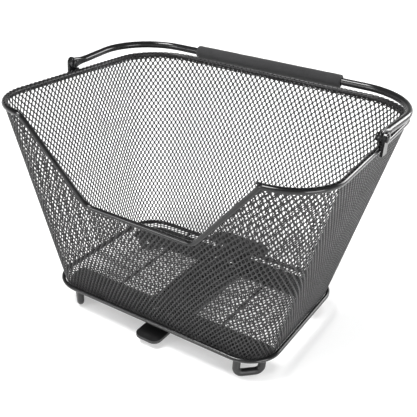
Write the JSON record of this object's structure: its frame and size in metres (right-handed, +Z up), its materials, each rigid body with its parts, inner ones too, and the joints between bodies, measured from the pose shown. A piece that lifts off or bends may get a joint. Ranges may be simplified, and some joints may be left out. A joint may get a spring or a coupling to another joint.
{
  "type": "bicycle carrier basket",
  "caption": "Flared expanded-metal carrier basket with a saddle cut-out, a folding carrying handle with foam grip, loop feet and a clip-on rack adapter with release lever.",
  "frame": {"origin": "on the ground below the middle of the bounding box, midway between the rim's ends and between its front and rear", "axes": "+X along the long side, towards the basket's right seen from the cut-out side; +Y away from the cut-out side, towards the release lever; +Z up out of the basket's mouth"},
  "size_m": [0.4484, 0.3462, 0.3148],
  "materials": {
    "black_coat": "satin black powder coat",
    "mesh_coat": "semi-gloss black powder coat on expanded metal",
    "black_plastic": "moulded black plastic",
    "grip_foam": "matte closed-cell foam",
    "plated_steel": "zinc plated"
  },
  "bodies": {
    "basket": {"rim_frame": "black_coat", "base_ring": "black_coat", "wall_mesh": "mesh_coat", "floor_mesh": "mesh_coat", "floor_rod_1": "black_coat", "floor_rod_2": "black_coat", "floor_rod_3": "black_coat", "floor_rod_4": "black_coat", "floor_rod_5": "black_coat", "front_floor_strip": "black_plastic", "rear_floor_strip": "black_plastic", "foot_front_right": "black_plastic", "foot_rear_right": "black_plastic", "foot_rear_left": "black_plastic", "foot_front_left": "black_plastic", "handle_bracket_right": "black_coat", "handle_bracket_left": "black_coat", "pivot_washer_right": "black_plastic", "pivot_washer_left": "black_plastic", "pivot_rivet_right": "black_coat", "pivot_rivet_left": "black_coat", "adapter_body": "black_plastic", "front_hook": "black_plastic", "lever_pin": "plated_steel", "lever_spring": "plated_steel", "adapter_screw_1": "plated_steel", "adapter_screw_2": "plated_steel", "adapter_screw_3": "plated_steel", "adapter_screw_4": "plated_steel"},
    "handle": {"handle_tube": "black_coat", "handle_grip": "grip_foam"},
    "lever": {"release_lever": "black_plastic"}
  },
  "joints": [
    {"name": "handle_hinge", "type": "hinge", "parent": "basket", "child": "handle", "pos_m": [0, -0.00446, 0.3016], "axis": [1, 0, 0], "range_deg": [0, 175.2]},
    {"name": "lever_hinge", "type": "hinge", "parent": "basket", "child": "lever", "pos_m": [0, 0.08604, 0.0239], "axis": [1, 0, 0], "range_deg": [-15, 0], "stiffness_Nm_per_rad": 0.6, "springref_deg": 20.05}
  ]
}
